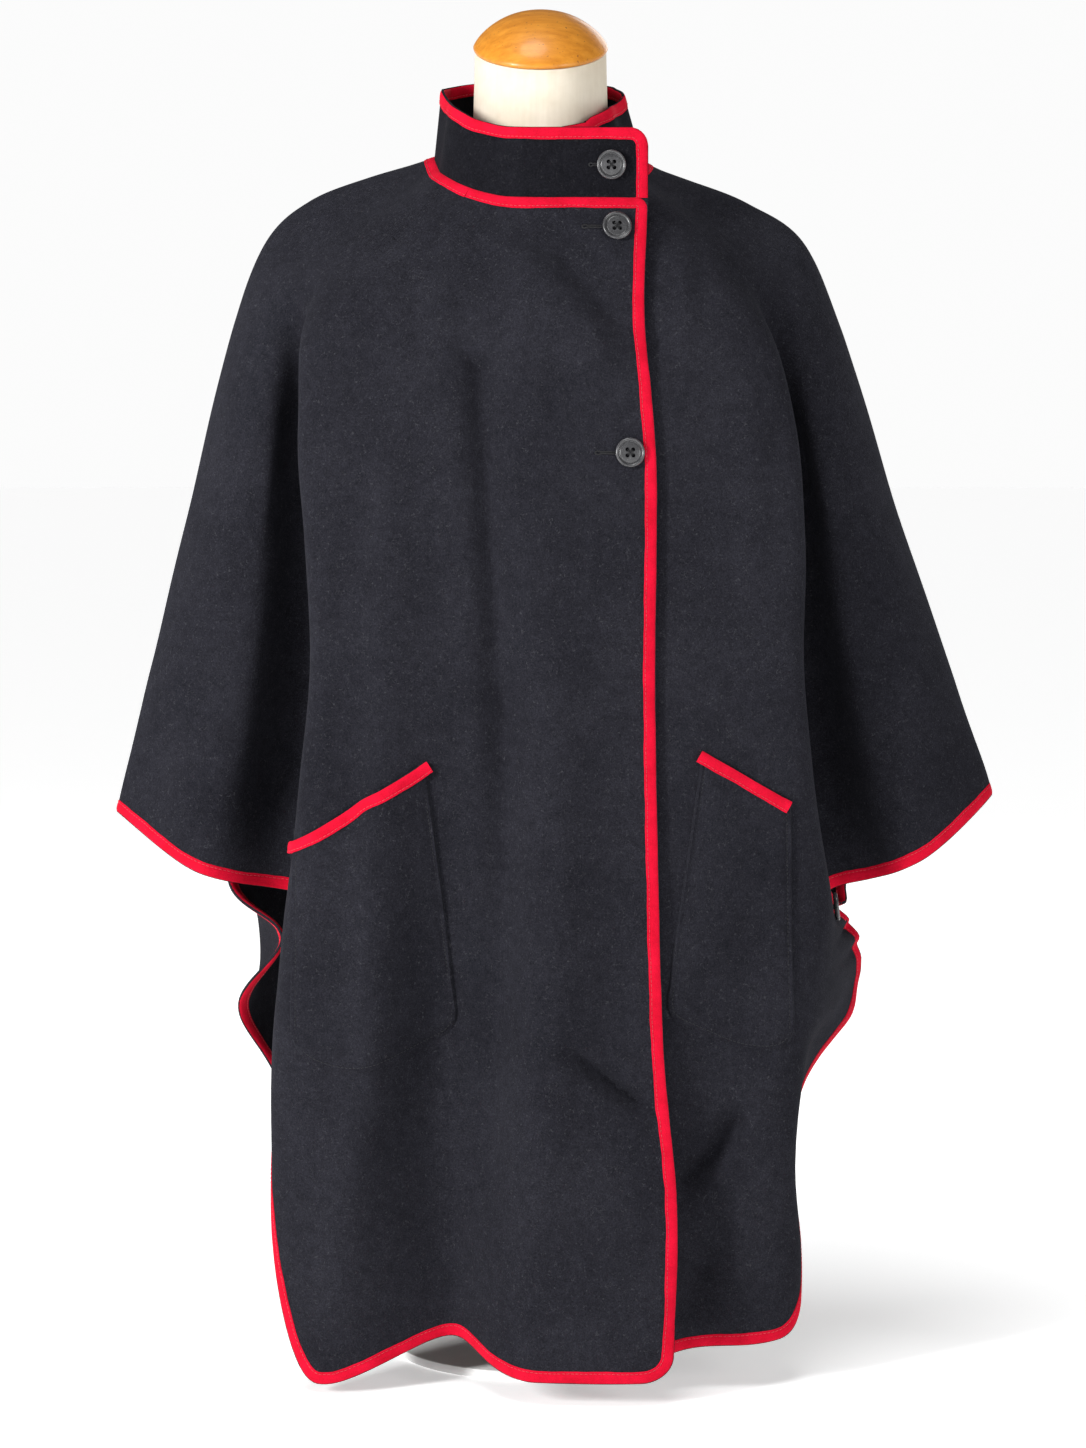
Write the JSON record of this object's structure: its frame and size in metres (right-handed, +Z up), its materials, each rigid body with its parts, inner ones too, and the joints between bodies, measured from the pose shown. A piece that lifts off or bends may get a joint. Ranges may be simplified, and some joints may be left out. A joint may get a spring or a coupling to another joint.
{
  "type": "cape coat on a limbless dress form",
  "caption": "Wool cape coat with a stand collar, cape sleeves, patch pockets and bound edges, hanging open below on a limbless dress form with a round base plate.",
  "frame": {"origin": "middle of the underside of the stand's base plate", "axes": "+Z up, -Y towards the front of the coat, +X towards the wearer's left side"},
  "size_m": [0.7464, 0.4022, 1.1395],
  "materials": {
    "coating": "felted wool",
    "binding": "wool felt tape",
    "button": "glossy",
    "linen": "linen cover",
    "wood": "clear varnish",
    "plate": "white paint"
  },
  "bodies": {
    "root": {"front_right": "coating", "front_right_binding": "binding", "front_left": "coating", "front_left_binding": "binding", "back": "coating", "back_binding": "binding", "back_neck_binding": "binding", "wing_right": "coating", "wing_right_neck_binding": "binding", "wing_right_hem_binding": "binding", "wing_left": "coating", "wing_left_neck_binding": "binding", "wing_left_hem_binding": "binding", "collar": "coating", "collar_binding": "binding", "pocket_right": "coating", "pocket_right_binding": "binding", "pocket_left": "coating", "pocket_left_binding": "binding", "button_collar": "button", "button_upper": "button", "button_lower": "button", "button_side_right": "button", "button_side_left": "button", "form_torso": "linen", "form_cap": "wood", "stand": "plate"}
  },
  "joints": []
}
